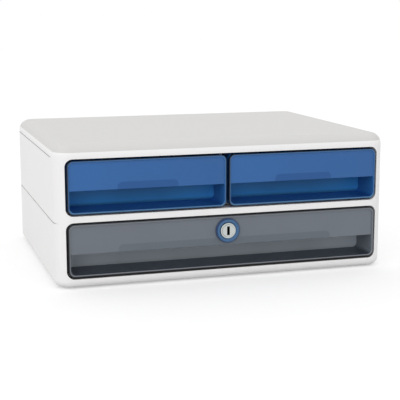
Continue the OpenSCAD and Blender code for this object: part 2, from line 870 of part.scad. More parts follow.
// Strike under the shelf: the raised cam stands in its slot and holds the drawer shut
module lock_strike() {
    color(steel_c) difference() {
        block([-strike_l / 2, strike_y, strike_z],
            [strike_l / 2, strike_y + strike_d, shelf_z]);
        block([sweep_x(strike_z - lock_z), strike_y + strike_wall, strike_z - cut],
            [cam_w / 2 + cam_side_gap, strike_y + strike_d - strike_wall, shelf_z + cut]);
        for (x = [-strike_screw_x, strike_screw_x]) {
            translate([x, strike_mid_y, strike_z - cut]) {
                cylinder(d = strike_screw_d + 2 * screw_pass, h = shelf_z);
                cylinder(d = strike_head_d + 2 * seat_fit, h = strike_head_t + cut);
            }
        }
    }
}

module strike_screws() {
    color(steel_c) for (x = [-strike_screw_x, strike_screw_x]) {
        translate([x, strike_mid_y, strike_z]) {
            cylinder(d = strike_head_d, h = strike_head_t);
            cylinder(d = strike_screw_d, h = strike_screw_end_z - strike_z);
        }
    }
}

front_frame();
lower_housing();
upper_housing();
top_frame();
top_panel();
shelf();
centre_divider();
lower_runner_left();
lower_runner_right();
upper_runner_left();
upper_runner_right();
lower_drawer_stop();
left_drawer_stop();
right_drawer_stop();
lock_strike();
strike_screws();
runner_screws();
base_screws();
rim_screws();
rubber_feet();
left_tray();
left_front();
right_tray();
right_front();
lower_tray();
lower_front();
lock_ring();
lock_barrel();
lock_nut();
lock_plug();
lock_cam();
cam_screw();
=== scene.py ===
import json
import math

import bmesh
import bpy
from mathutils import Matrix, Vector
from mathutils.geometry import tessellate_polygon


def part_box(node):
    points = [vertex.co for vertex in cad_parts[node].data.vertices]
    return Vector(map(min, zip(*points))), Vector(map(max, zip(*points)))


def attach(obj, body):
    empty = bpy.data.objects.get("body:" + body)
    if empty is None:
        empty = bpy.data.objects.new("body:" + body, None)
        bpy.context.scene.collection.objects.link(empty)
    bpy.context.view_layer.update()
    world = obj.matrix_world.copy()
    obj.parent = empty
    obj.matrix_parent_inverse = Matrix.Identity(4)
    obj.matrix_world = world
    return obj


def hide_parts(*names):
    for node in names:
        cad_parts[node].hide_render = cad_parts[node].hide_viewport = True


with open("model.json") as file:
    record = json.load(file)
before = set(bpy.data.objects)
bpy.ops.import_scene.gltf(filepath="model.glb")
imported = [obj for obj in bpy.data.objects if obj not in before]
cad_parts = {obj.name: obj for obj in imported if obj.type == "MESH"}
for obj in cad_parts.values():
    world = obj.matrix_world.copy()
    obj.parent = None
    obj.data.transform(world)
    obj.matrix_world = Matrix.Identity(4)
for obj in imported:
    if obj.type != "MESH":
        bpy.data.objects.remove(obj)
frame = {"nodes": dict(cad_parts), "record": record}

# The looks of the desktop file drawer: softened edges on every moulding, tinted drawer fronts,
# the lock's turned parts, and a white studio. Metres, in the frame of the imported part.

MM = 0.001
NODES = frame["nodes"]
RECORD = frame["record"]
SLOT = {part["node"]: part["material_slot"] for part in RECORD["subparts"]}
BODY = {node: body for body, nodes in RECORD["behaviour"]["bodies"].items() for node in nodes}
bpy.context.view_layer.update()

# Planes and places that the pieces share, read from the frame
front_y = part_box("left_front")[0].y
shell_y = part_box("lower_housing")[0].y
lid_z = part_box("top_panel")[0].z
lower_seam_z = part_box("lower_housing")[1].z
upper_seam_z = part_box("upper_housing")[1].z
ring_lo, ring_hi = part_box("lock_ring")
barrel_lo, barrel_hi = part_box("lock_barrel")
plug_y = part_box("lock_plug")[0].y
lock_x = (ring_lo.x + ring_hi.x) / 2
lock_z = (ring_lo.z + ring_hi.z) / 2

# The photograph's camera, and the lamp
CAMERA_PLACE = (-0.3415, -1.1572, 0.2798)
CAMERA_YAW = math.radians(16.98)
CAMERA_PITCH = math.radians(10.33)
CAMERA_ROLL = math.radians(0.06)
LENS_MM = 94.2
SENSOR_MM = 36
LAMP_PLACE = (-1.5, -1.8, 0.6)
LAMP_TARGET = (0, 0, 0.07)

# Sizes of the drawer fronts
FRONT_R = 6 * MM           # corner radius of a front's outline
BAND_W = 0.35 * MM         # painted shadow of the gap: a dark band along that outline
BAND_LEFT_W = 0.85 * MM    # the same painted shadow band along its left-hand side
BAND_D = 4 * MM            # how far the painted shadow band goes back round the outside
REVEAL = 2 * MM            # gap round a front in its opening
OPENING_R = 8 * MM         # corner radius of an opening
FLAP_SET = 1.2 * MM        # setback of the flap behind the raised edge
FINGER_H = 23.5 * MM       # height of the finger gap under the flap
GRIP_H = 7.7 * MM          # height of the thinned grip
GRIP_R = 5 * MM            # its corner radius
GRIP_W = {"left_front": 64 * MM, "right_front": 64 * MM, "lower_front": 234 * MM}

# Sizes of the lock
RING_STEP_W = 1.1 * MM     # outer step of the ring
RING_STEP_D = 1.2 * MM     # and its depth below the ridge
RING_RIDGE_W = 2.2 * MM    # flat ridge inside that step
RING_SLOPE_D = 1.4 * MM    # depth of the slope inside the ridge
RING_BORE_R = 8.4 * MM     # hole that the barrel sits in
FLANGE_SEAT_R = 9.6 * MM   # seat for the barrel's flange behind the ring
FLANGE_SEAT_D = 1.3 * MM   # and its depth
BARREL_R = 8.25 * MM       # barrel's outer radius
BARREL_BORE_R = 6.5 * MM   # hole that the plug turns in
FLANGE_D = 1.2 * MM        # thickness of the barrel's flange
KEY_W = 2.9 * MM           # key slot
KEY_H = 9.4 * MM
KEY_D = 12 * MM
WARD_W = 0.7 * MM          # ridge that the key's groove passes
WARD_H = 1.1 * MM
WARD_ROOT = 0.2 * MM       # how far it reaches into the slot's wall
WARD_START = 0.5 * MM      # where it begins and ends behind the plug's face
WARD_END = 7 * MM
LOCK_STEPS = 96            # sides of the lock's turned forms

# Sizes of the screws and feet
THREAD_PITCH = 1.2 * MM
THREAD_TURNS = 8           # at most
SCREW_STEPS = 24           # sides of a screw
FOOT_STEPS = 64            # sides of a foot
TREAD_D = 0.4 * MM         # chamfer and groove of a foot's tread
GROOVE = (0.5, 0.55, 0.68, 0.73)   # the groove's lips and feet, in shares of the foot's radius

# Radii of the softened edges
FRAME_EDGE_R = 1.1 * MM
FRONT_EDGE_R = 0.7 * MM
TRAY_EDGE_R = 0.5 * MM
RING_EDGE_R = 0.25 * MM
BARREL_EDGE_R = 0.35 * MM
FINE_EDGE_R = 0.08 * MM    # plug and screws
FOOT_EDGE_R = 0.15 * MM

# Seam grooves round the shells: each one's height, and where it begins behind the front
SEAM_H = 0.8 * MM
SEAM_FADE = 5 * MM
SEAMS = ((lower_seam_z, front_y + 14 * MM), (upper_seam_z, front_y + 25.7 * MM))

# Housing plastic: grain, and clouds with their tones
GRAIN = 0.35 * MM
GRAIN_D = 0.02 * MM
HOUSING_CLOUD = 45 * MM
HOUSING_TONES = (0.985, 1.015)
HOUSING_ROUGHNESS = (0.5, 0.62)
HOUSING_SPECULAR = 0.4

# The drawers' plastic: faint waves, and clouds with their tones
RIPPLE = 6 * MM
RIPPLE_D = 0.004 * MM
DRAWER_CLOUD = 30 * MM
DRAWER_TONES = (0.95, 1.05)
DRAWER_COAT = 0.12
COAT_ROUGHNESS = 0.15
RECESS_ROUGHNESS = 0.45

# Metal: brushing with its tones, and duller patches
BRUSHING = 0.25 * MM
BRUSHING_D = 0.003 * MM
METAL_TONES = (0.94, 1.04)
METAL_PATCH = 3 * MM

# Rubber: dusty bloom, and grain
BLOOM = 2 * MM
BLOOM_TONE = 1.6
RUBBER_GRAIN = 0.3 * MM
RUBBER_GRAIN_D = 0.03 * MM
RUBBER_ROUGHNESS = (0.75, 0.9)

# Where the painted light and shade on a drawer's plastic change
BLUR = 0.3 * MM            # soft side of the painted shadow band and of the grip
SILL_ZONE = (2 * MM, 5 * MM)       # above the front's foot, where the sill's painted highlight fades
FOOT_ZONE = (2 * MM, 5.5 * MM)     # the same, on the back wall, where the painted shade at its foot fades
OUTER_ZONE = (-0.6 * MM, -0.4 * MM)    # from a front's walls to its outside
LIP_ZONE = (0.2 * MM, 0.8 * MM)    # outside an opening
LIP_LEVEL = (0.3, 0.6)     # upward part of the normal where a lip counts as level
FLOOR_LEVEL = (0.3, 0.95)  # the same, for a front's floor, where the walls' painted tone turns into the floor's
END_W = 60 * MM            # painted light at each end of a back wall
END_LIFT = 1.5
FLOOR_FRONT = 0.34         # how dark painted shade makes the finger gap's floor at the front

# How dark shade makes the white plastic
SEAM_SHADE = 0.45
LIP_SHADE = 0.3

# Mesh clean-up before the edges are rounded
NEAR = 0.1 * MM            # off a plane or a round form, and still on it
FACING = 0.99              # part of the normal along an axis that a face looks along
WELD = 1e-6
FLAT = math.radians(0.2)
CREASE = math.radians(28)


# ---------------------------------------------------------------- camera, light and floor

def make_camera():
    """The photograph's viewpoint: its place, and the direction that it looks in."""
    data = bpy.data.cameras.new("camera")
    camera = bpy.data.objects.new("camera", data)
    bpy.context.scene.collection.objects.link(camera)
    camera.location = CAMERA_PLACE
    camera.rotation_euler = (math.pi / 2 - CAMERA_PITCH, CAMERA_ROLL, -CAMERA_YAW)
    data.sensor_width = SENSOR_MM
    data.lens = LENS_MM
    data.clip_start = 0.05
    data.clip_end = 20
    bpy.context.scene.camera = camera


def make_lamp(side, power):
    """A soft square lamp, turned to its target."""
    data = bpy.data.lights.new("key", "AREA")
    data.shape = "SQUARE"
    data.size = side
    data.energy = power
    lamp = bpy.data.objects.new("key", data)
    bpy.context.scene.collection.objects.link(lamp)
    lamp.location = LAMP_PLACE
    aim = Vector(LAMP_TARGET) - Vector(LAMP_PLACE)
    lamp.rotation_euler = aim.to_track_quat("-Z", "Y").to_euler()


def seen_directly(nodes, links):
    """1 where a camera, glossy or transmission ray looks, 0 for the light that falls on things."""
    path = nodes.new("ShaderNodeLightPath")
    either = nodes.new("ShaderNodeMath")
    either.operation = "MAXIMUM"
    links.new(path.outputs["Is Camera Ray"], either.inputs[0])
    links.new(path.outputs["Is Glossy Ray"], either.inputs[1])
    all_three = nodes.new("ShaderNodeMath")
    all_three.operation = "MAXIMUM"
    links.new(either.outputs[0], all_three.inputs[0])
    links.new(path.outputs["Is Transmission Ray"], all_three.inputs[1])
    return all_three.outputs[0]


def make_world(strength):
    """Even studio light, in front of a white background."""
    world = bpy.data.worlds.new("studio")
    bpy.context.scene.world = world
    world.use_nodes = True
    nodes, links = world.node_tree.nodes, world.node_tree.links
    nodes.clear()
    light = nodes.new("ShaderNodeBackground")
    light.inputs["Color"].default_value = (1, 1, 1, 1)
    light.inputs["Strength"].default_value = strength
    white = nodes.new("ShaderNodeBackground")
    white.inputs["Color"].default_value = (1, 1, 1, 1)
    white.inputs["Strength"].default_value = 1
    mix = nodes.new("ShaderNodeMixShader")
    links.new(seen_directly(nodes, links), mix.inputs["Fac"])
    links.new(light.outputs[0], mix.inputs[1])
    links.new(white.outputs[0], mix.inputs[2])
    links.new(mix.outputs[0], nodes.new("ShaderNodeOutputWorld").inputs["Surface"])


def make_floor(side, tone, glow):
    """A plain pale floor. Seen directly it glows a little, so that it meets the white
    background, and it keeps the object's shadow."""
    mesh = bpy.data.meshes.new("floor")
    work = bmesh.new()
    bmesh.ops.create_grid(work, x_segments=1, y_segments=1, size=side / 2)
    work.to_mesh(mesh)
    work.free()
    floor = bpy.data.objects.new("floor", mesh)
    bpy.context.scene.collection.objects.link(floor)
    material = bpy.data.materials.new("floor")
    material.use_nodes = True
    nodes, links = material.node_tree.nodes, material.node_tree.links
    nodes.clear()
    paint = nodes.new("ShaderNodeBsdfDiffuse")
    paint.inputs["Color"].default_value = (tone, tone, tone, 1)
    lamp = nodes.new("ShaderNodeEmission")
    times = nodes.new("ShaderNodeMath")
    times.operation = "MULTIPLY"
    times.inputs[1].default_value = glow
    links.new(seen_directly(nodes, links), times.inputs[0])
    links.new(times.outputs[0], lamp.inputs["Strength"])
    add = nodes.new("ShaderNodeAddShader")
    links.new(paint.outputs[0], add.inputs[0])
    links.new(lamp.outputs[0], add.inputs[1])
    links.new(add.outputs[0], nodes.new("ShaderNodeOutputMaterial").inputs["Surface"])
    mesh.materials.append(material)


# ---------------------------------------------------------------- how a material is made

def linear(red, green, blue):
    """A display colour, 0 to 255, as the linear colour that the shader takes."""
    return tuple(
        (c / 255) / 12.92 if c / 255 <= 0.04045 else ((c / 255 + 0.055) / 1.055) ** 2.4
        for c in (red, green, blue)) + (1,)


def scaled(colour, factor):
    """A linear colour made lighter or darker."""
    return tuple(min(c * factor, 1) for c in colour[:3]) + (1,)


class Surface:
    """A material under construction: its nodes, its links and its main shader."""

    def __init__(self, name):
        self.material = bpy.data.materials.new(name)
        self.material.use_nodes = True
        self.nodes = self.material.node_tree.nodes
        self.links = self.material.node_tree.links
        self.shader = self.nodes["Principled BSDF"]
        where = self.nodes.new("ShaderNodeTexCoord")
        self.place = where.outputs["Object"]
        self.normal = where.outputs["Normal"]

    def noise(self, size, detail=2):
        """Noise whose blotches are about this many metres across, around 0.5."""
        node = self.nodes.new("ShaderNodeTexNoise")
        node.inputs["Scale"].default_value = 1 / size
        node.inputs["Detail"].default_value = detail
        self.links.new(self.place, node.inputs["Vector"])
        return node.outputs["Fac"]

    def feed(self, socket, value):
        """Gives a node's socket a number, a colour or another node's output."""
        if isinstance(value, bpy.types.NodeSocket):
            self.links.new(value, socket)
        else:
            socket.default_value = value

    def math(self, operation, *values):
        """A Math node: each value is a number or another node's output."""
        node = self.nodes.new("ShaderNodeMath")
        node.operation = operation
        for socket, value in zip(node.inputs, values):
            self.feed(socket, value)
        return node.outputs[0]

    def remap(self, value, low, high, start=0.0, end=1.0):
        """The value from start..end brought to low..high."""
        node = self.nodes.new("ShaderNodeMapRange")
        for socket, number in zip(list(node.inputs)[1:5], (start, end, low, high)):
            socket.default_value = number
        self.links.new(value, node.inputs[0])
        return node.outputs[0]

    def blend(self, amount, first, second):
        """A colour between two others: each is a colour or a node's output."""
        node = self.nodes.new("ShaderNodeMix")
        node.data_type = "RGBA"
        self.links.new(amount, node.inputs["Factor"])
        self.feed(node.inputs[6], first)
        self.feed(node.inputs[7], second)
        return node.outputs[2]

    def shade(self, tone, amount):
        """A colour times a number that varies over the surface."""
        node = self.nodes.new("ShaderNodeMix")
        node.data_type = "RGBA"
        node.blend_type = "MULTIPLY"
        node.inputs["Factor"].default_value = 1
        self.feed(node.inputs[6], tone)
        self.links.new(amount, node.inputs[7])
        return node.outputs[2]

    def along(self, axis, vector=None):
        """One coordinate of the place on the piece, or of another vector."""
        node = self.nodes.new("ShaderNodeSeparateXYZ")
        self.links.new(vector or self.place, node.inputs[0])
        return node.outputs[axis]

    def away(self, axis, middle):
        """How far a place is from the middle along one axis, on either side."""
        return self.math("ABSOLUTE", self.math("SUBTRACT", self.along(axis), middle))

    def outside(self, rectangle, radius):
        """How far outside a rectangle with round corners, seen from the front. Just inside it is
        negative."""
        x0, z0, x1, z1 = rectangle
        reach = []
        for axis, low, high in (("X", x0, x1), ("Z", z0, z1)):
            offset = self.away(axis, (low + high) / 2)
            inset = self.math("SUBTRACT", offset, (high - low) / 2 - radius)
            reach.append(self.math("POWER", self.math("MAXIMUM", inset, 0.0), 2.0))
        corner = self.math("SQRT", self.math("ADD", reach[0], reach[1]))
        return self.math("SUBTRACT", corner, radius)

    def bump(self, height, depth):
        """Relief of this depth in metres."""
        node = self.nodes.new("ShaderNodeBump")
        node.inputs["Strength"].default_value = 1
        node.inputs["Distance"].default_value = depth
        self.links.new(height, node.inputs["Height"])
        self.links.new(node.outputs[0], self.shader.inputs["Normal"])

    def finish(self, colour, roughness):
        """Connects the colour and the roughness, which vary over the surface."""
        self.links.new(colour, self.shader.inputs["Base Color"])
        self.links.new(roughness, self.shader.inputs["Roughness"])
        return self.material


# ---------------------------------------------------------------- materials

def matt_plastic(name, colour, shadows=lambda surface: ()):
    """Spark-eroded housing plastic: a fine even grain, and faint cloudiness of the moulding.
    shadows gives where shade lies on it, and how dark that gets."""
    surface = Surface(name)
    surface.shader.inputs["Specular IOR Level"].default_value = HOUSING_SPECULAR
    clouds = surface.noise(HOUSING_CLOUD, 3)
    tone = surface.blend(clouds, *[scaled(colour, factor) for factor in HOUSING_TONES])
    for amount, darkest in shadows(surface):
        tone = surface.blend(amount, tone, scaled(colour, darkest))
    surface.bump(surface.noise(GRAIN), GRAIN_D)
    return surface.finish(tone, surface.remap(clouds, *HOUSING_ROUGHNESS))


def seam_shadows(surface):
    """Painted shade in the seams' grooves, behind the place where each begins."""
    for height, begin in SEAMS:
        groove = surface.remap(surface.away("Z", height), 1, 0, 0.5 * SEAM_H, 0.6 * SEAM_H)
        behind = surface.remap(surface.along("Y"), 0, 1, begin - SEAM_FADE, begin)
        yield surface.math("MULTIPLY", groove, behind), SEAM_SHADE


def lip_shadow(surface):
    """Shade on the front frame's lip under the wide drawer."""
    lo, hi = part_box("lower_front")
    opening = (lo.x - REVEAL, lo.z - REVEAL, hi.x + REVEAL, hi.z + REVEAL)
    near = surface.remap(surface.outside(opening, OPENING_R), 1, 0, *LIP_ZONE)
    upwards = surface.remap(surface.along("Z", surface.normal), 0, 1, *LIP_LEVEL)
    yield surface.math("MULTIPLY", near, upwards), LIP_SHADE


def tinted_plastic(name, paint, roughness=0.3, specular=0.45):
    """The drawers' plastic, smooth and slightly cloudy. paint gives its colour on a surface."""
    surface = Surface(name)
    surface.shader.inputs["Specular IOR Level"].default_value = specular
    surface.shader.inputs["Coat Weight"].default_value = DRAWER_COAT
    surface.shader.inputs["Coat Roughness"].default_value = COAT_ROUGHNESS
    clouds = surface.noise(DRAWER_CLOUD)
    tone = surface.shade(paint(surface), surface.remap(clouds, *DRAWER_TONES))
    surface.bump(surface.noise(RIPPLE), RIPPLE_D)
    return surface.finish(tone, surface.remap(clouds, roughness - 0.04, roughness + 0.06))


def flap_plastic(name, tones, outline, grip):
    """The flap: its tone changes a little from left to right as painted shading, and it is darker
    where the grip behind it, a rectangle with round corners, leaves it thin."""
    x0, _, x1, _ = outline

    def paint(surface):
        across = surface.remap(surface.along("X"), tones["left"], tones["right"], x0, x1)
        inside = surface.remap(surface.outside(grip, GRIP_R), 1, 0, -BLUR, BLUR)
        return surface.blend(inside, surface.shade(tones["face"], across), tones["grip"])
    return tinted_plastic(name, paint)


def edge_plastic(name, tones, outline):
    """The raised edge: a ridge, lightest along the sill with a painted highlight, and a band of
    painted shadow along the front's outline that is nearly black."""
    x0, z0, x1, z1 = outline
    ridge = (x0 + BAND_LEFT_W - BAND_W, z0 + tones["sill_band"], x1, z1)

    def paint(surface):
        low = surface.remap(surface.along("Z"), 1, 0, z0 + SILL_ZONE[0], z0 + SILL_ZONE[1])
        tone = surface.blend(low, tones["edge"], tones["sill_highlight"])
        dark = surface.remap(surface.outside(ridge, FRONT_R), 0, 1, -BAND_W - BLUR, -BAND_W)
        return surface.blend(dark, tone, tones["band"])
    return tinted_plastic(name, paint)


def recess_plastic(name, tones, outline, front, rear):
    """The finger gap in painted light and shade: paler walls, and a floor that darkens towards the
    front as painted shade. The dark band of painted shadow along the outline goes round to the
    outside."""
    band_end = front + BAND_D

    def paint(surface):
        level = surface.remap(surface.along("Z", surface.normal), 0, 1, *FLOOR_LEVEL)
        depth = surface.along("Y")
        floor = surface.shade(tones["floor"], surface.remap(depth, FLOOR_FRONT, 1, front, rear))
        outer = surface.remap(surface.outside(outline, FRONT_R), 0, 1, *OUTER_ZONE)
        near = surface.remap(depth, 1, 0, band_end - 0.5 * MM, band_end)
        band = surface.math("MULTIPLY", outer, near)
        dark = surface.blend(level, tones["band"], tones["band_top"])
        inner = surface.blend(level, tones["side"], floor)
        return surface.blend(band, surface.blend(outer, inner, tones["face"]), dark)
    return tinted_plastic(name, paint, roughness=RECESS_ROUGHNESS, specular=0.2)


def rear_plastic(name, tones, outline, flap_z):
    """The wall at the back of the finger gap, its tone raised by painted light: painted light and
    shade change it towards the flap and the foot, and painted light makes it paler at both ends,
    where light comes in through the sides."""
    x0, z0, x1, _ = outline
    half = (x1 - x0) / 2

    def paint(surface):
        height = surface.along("Z")
        eaves = surface.remap(height, 1, tones["eaves"], z0, flap_z)
        foot = surface.remap(height, tones["foot"], 1, z0 + FOOT_ZONE[0], z0 + FOOT_ZONE[1])
        ends = surface.remap(surface.away("X", (x0 + x1) / 2), 1, END_LIFT, half - END_W, half)
        amount = surface.math("MULTIPLY", surface.math("MULTIPLY", eaves, foot), ends)
        return surface.shade(tones["back"], amount)
    return tinted_plastic(name, paint, roughness=RECESS_ROUGHNESS, specular=0.1)


def plain_plastic(name, colour, roughness=0.3):
    """The same smooth plastic in one tone, apart from its cloudiness."""
    return tinted_plastic(name, lambda surface: colour, roughness)


def satin_metal(name, colour, roughness):
    """Turned and plated metal: fine irregular brushing."""
    surface = Surface(name)
    surface.shader.inputs["Metallic"].default_value = 1
    brushing = surface.noise(BRUSHING, 3)
    tone = surface.blend(brushing, *[scaled(colour, factor) for factor in METAL_TONES])
    surface.bump(brushing, BRUSHING_D)
    patches = surface.noise(METAL_PATCH)
    return surface.finish(tone, surface.remap(patches, roughness - 0.06, roughness + 0.08))


def soft_rubber(name, colour):
    """Matt rubber with a dusty bloom."""
    surface = Surface(name)
    bloom = surface.noise(BLOOM, 3)
    tone = surface.blend(bloom, colour, scaled(colour, BLOOM_TONE))
    surface.bump(surface.noise(RUBBER_GRAIN), RUBBER_GRAIN_D)
    return surface.finish(tone, surface.remap(bloom, *RUBBER_ROUGHNESS))


# The drawers' tones on each of their surfaces, most of them painted light and shade: shading
# across the flap, a highlight along the sill, the gap's nearly black shadow round each front, and
# the finger gap's walls, floor and back wall in lit and shaded tones, the back wall raised by
# painted light.
# left, right, eaves and foot are factors, and sill_band is how much wider the dark band of painted
# shadow is along the sill.
BLUE = {
    "face": linear(30, 92, 156), "left": 1.07, "right": 0.97, "grip": linear(0, 78, 143),
    "edge": linear(46, 93, 141), "sill_highlight": linear(65, 112, 152), "sill_band": 0,
    "band": linear(8, 24, 44), "band_top": linear(8, 24, 44),
    "side": linear(44, 103, 168), "floor": linear(40, 104, 193),
    "back": linear(57, 138, 208), "eaves": 0.52, "foot": 0.4,
}
GREY = {
    "face": linear(105, 112, 121), "left": 1.01, "right": 1.03, "grip": linear(94, 103, 112),
    "edge": linear(108, 113, 120), "sill_highlight": linear(119, 123, 130), "sill_band": 0.4 * MM,
    "band": linear(16, 18, 22), "band_top": linear(70, 75, 80),
    "side": linear(114, 121, 131), "floor": linear(86, 96, 110),
    "back": linear(152, 160, 168), "eaves": 1.32, "foot": 0.85,
}
WHITE = linear(242, 241, 241)
MATERIALS = {
    "white_plastic": matt_plastic("white_plastic", WHITE),
    "white_shell": matt_plastic("white_shell", WHITE, seam_shadows),
    "frame_plastic": matt_plastic("frame_plastic", WHITE, lip_shadow),
    "top_plastic": matt_plastic("top_plastic", linear(211, 210, 208)),
    "blue_plastic": plain_plastic("blue_plastic", BLUE["face"]),
    "grey_plastic": plain_plastic("grey_plastic", GREY["face"]),
    "ring_plastic": plain_plastic("ring_plastic", linear(57, 99, 141), 0.4),
    # The ring's outer step in a darker tone: painted shade in the step
    "ring_step_shade": plain_plastic("ring_step_shade", linear(28, 60, 104), 0.4),
    "lock_metal": satin_metal("lock_metal", linear(196, 201, 199), 0.3),
    # Dark metal for the key slot's walls: painted shade inside the slot
    "key_slot_shade": satin_metal("key_slot_shade", linear(40, 40, 42), 0.6),
    "steel": satin_metal("steel", linear(190, 192, 196), 0.38),
    "rubber": soft_rubber("rubber", linear(34, 34, 36)),
}


# ---------------------------------------------------------------- how a piece is made

def link_piece(name, mesh, node):
    """Puts a mesh in the scene as the piece that stands for a CAD node."""
    piece = bpy.data.objects.new(name, mesh)
    bpy.context.scene.collection.objects.link(piece)
    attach(piece, BODY[node])
    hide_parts(node)
    return piece


def clean_copy(node):
    """A CAD node's mesh with its corners welded and its flat faces whole."""
    source = NODES[node].data
    work = bmesh.new()
    corners = [work.verts.new(v.co) for v in source.vertices]
    for polygon in source.polygons:
        work.faces.new([corners[i] for i in polygon.vertices])
    bmesh.ops.remove_doubles(work, verts=work.verts, dist=WELD)
    bmesh.ops.dissolve_limit(work, angle_limit=FLAT, verts=work.verts, edges=work.edges)
    work.normal_update()
    return work


def soften(name, node, radius, materials, stays_sharp=None, paint=None, segments=3, form=None):
    """Stands for a CAD node with the same shape, or with a fuller form, its edges rounded by
    radius. stays_sharp says of an edge's middle whether it stays, and paint of a face which of
    the materials it has."""
    work = form or clean_copy(node)
    weight = work.edges.layers.float.new("bevel_weight_edge")
    for edge in work.edges:
        if len(edge.link_faces) == 2 and edge.calc_face_angle() > CREASE:
            middle = (edge.verts[0].co + edge.verts[1].co) / 2
            if stays_sharp and stays_sharp(middle):
                edge.smooth = False
            else:
                edge[weight] = 1
    for face in work.faces:
        face.smooth = True
        if paint:
            face.material_index = paint(face)
    mesh = bpy.data.meshes.new(name)
    work.to_mesh(mesh)
    work.free()
    for material in materials:
        mesh.materials.append(material)
    piece = link_piece(name, mesh, node)
    bevel = piece.modifiers.new("edges", "BEVEL")
    bevel.limit_method = "WEIGHT"
    bevel.width = radius
    bevel.segments = segments
    normals = piece.modifiers.new("normals", "WEIGHTED_NORMAL")
    normals.keep_sharp = True


def turn(work, profile, place, steps, closed=False):
    """Adds the form that (radius, height) points make when they go round the Z axis of place.
    A closed profile makes a ring."""
    rings = []
    for radius, height in profile:
        angles = [2 * math.pi * i / steps for i in range(steps)] if radius else [0]
        spots = [Vector((radius * math.cos(a), radius * math.sin(a), height)) for a in angles]
        rings.append([work.verts.new(place @ spot) for spot in spots])
    following = rings[1:] + rings[:1] if closed else rings[1:]
    for near, far in zip(rings, following):
        for i in range(steps):
            near_pair = (near[i % len(near)], near[(i + 1) % len(near)])
            far_pair = (far[(i + 1) % len(far)], far[i % len(far)])
            work.faces.new(list(dict.fromkeys(near_pair + far_pair)))
    return rings


def add_block(work, low, high):
    """Adds a box with these corners."""
    places = [(x, y, z) for x in (low[0], high[0]) for y in (low[1], high[1])
              for z in (low[2], high[2])]
    corners = [work.verts.new(place) for place in places]
    sides = ((0, 1, 3, 2), (4, 6, 7, 5), (0, 4, 5, 1), (2, 3, 7, 6), (0, 2, 6, 4), (1, 5, 7, 3))
    for side in sides:
        work.faces.new([corners[i] for i in side])


def close_form(work):
    """Turns the faces of a new form outwards."""
    bmesh.ops.recalc_face_normals(work, faces=work.faces)
    return work


def islands(work):
    """The separate solids of a mesh, each as a list of its corners' places."""
    seen = set()
    for first in work.verts:
        if first in seen:
            continue
        queue = [first]
        seen.add(first)
        for vert in queue:
            for edge in vert.link_edges:
                other = edge.other_vert(vert)
                if other not in seen:
                    seen.add(other)
                    queue.append(other)
        yield [vert.co.copy() for vert in queue]


def extent(corners):
    """The lowest and highest corner of the box round some places."""
    low = Vector([min(c[i] for c in corners) for i in range(3)])
    high = Vector([max(c[i] for c in corners) for i in range(3)])
    return low, high


# ---------------------------------------------------------------- front frame and drawers

def make_front_frame():
    """The front moulding: soft edges round the openings, none where it meets its neighbours."""
    def joint(middle):
        return abs(middle.y - shell_y) < NEAR or abs(middle.z - lid_z) < NEAR
    plastic = [MATERIALS["frame_plastic"]]
    soften("front_moulding", "front_frame", FRAME_EDGE_R, plastic, joint, segments=4)


def faces_front(polygon, plane_y):
    """Whether a face looks forwards and lies in the plane at plane_y."""
    return polygon.normal.y < -FACING and abs(polygon.calc_center_median().y - plane_y) < NEAR


def make_drawer(side, slot, tones):
    """A drawer's front, with its raised edge, flap and finger gap, and the tray behind it."""
    node = side + "_front"
    lo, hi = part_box(node)
    middle = (lo.x + hi.x) / 2
    half = GRIP_W[node] / 2
    flap_z = lo.z + FINGER_H
    grip = (middle - half, flap_z - 2 * GRIP_R, middle + half, flap_z + GRIP_H)
    outline = (lo.x, lo.z, hi.x, hi.z)
    front_materials = [
        edge_plastic(side + "_edge", tones, outline),
        flap_plastic(side + "_flap", tones, outline, grip),
        recess_plastic(side + "_recess", tones, outline, lo.y, hi.y),
    ]
    rear = rear_plastic(side + "_recess_back", tones, outline, flap_z)

    def paint(polygon):
        if faces_front(polygon, lo.y):
            return 0
        return 1 if faces_front(polygon, lo.y + FLAP_SET) else 2

    def paint_tray(polygon):
        return 1 if faces_front(polygon, hi.y) else 0
    tray_materials = [MATERIALS[slot], rear]
    soften(side + "_drawer_front", node, FRONT_EDGE_R, front_materials, paint=paint)
    soften(side + "_drawer_tray", side + "_tray", TRAY_EDGE_R, tray_materials, paint=paint_tray)


# ---------------------------------------------------------------- lock

def lock_axis():
    """The lock's own frame: its Z axis runs forwards from the middle of the ring's back."""
    return Matrix.Translation((lock_x, ring_hi.y, lock_z)) @ Matrix.Rotation(math.pi / 2, 4, "X")


def make_lock_ring():
    """The ring: an outer step, a flat ridge and a slope down to the barrel in front, and the seat
    for the barrel's flange behind."""
    height = ring_hi.y - ring_lo.y
    outer = (ring_hi.x - ring_lo.x) / 2
    ridge = outer - RING_STEP_W
    step = height - RING_STEP_D
    slope = height - RING_SLOPE_D
    profile = [
        (FLANGE_SEAT_R, 0), (outer, 0), (outer, step), (ridge, step), (ridge, height),
        (ridge - RING_RIDGE_W, height), (RING_BORE_R, slope), (RING_BORE_R, FLANGE_SEAT_D),
        (FLANGE_SEAT_R, FLANGE_SEAT_D)]
    form = bmesh.new()
    turn(form, profile, lock_axis(), LOCK_STEPS, closed=True)

    # The outer step gets the darker plastic, as painted shade
    def paint(polygon):
        place = polygon.calc_center_median()
        return 1 if math.hypot(place.x - lock_x, place.z - lock_z) > ridge - NEAR else 0
    plastics = [MATERIALS["ring_plastic"], MATERIALS["ring_step_shade"]]
    form = close_form(form)
    soften("lock_ring_turned", "lock_ring", RING_EDGE_R, plastics, paint=paint, form=form)


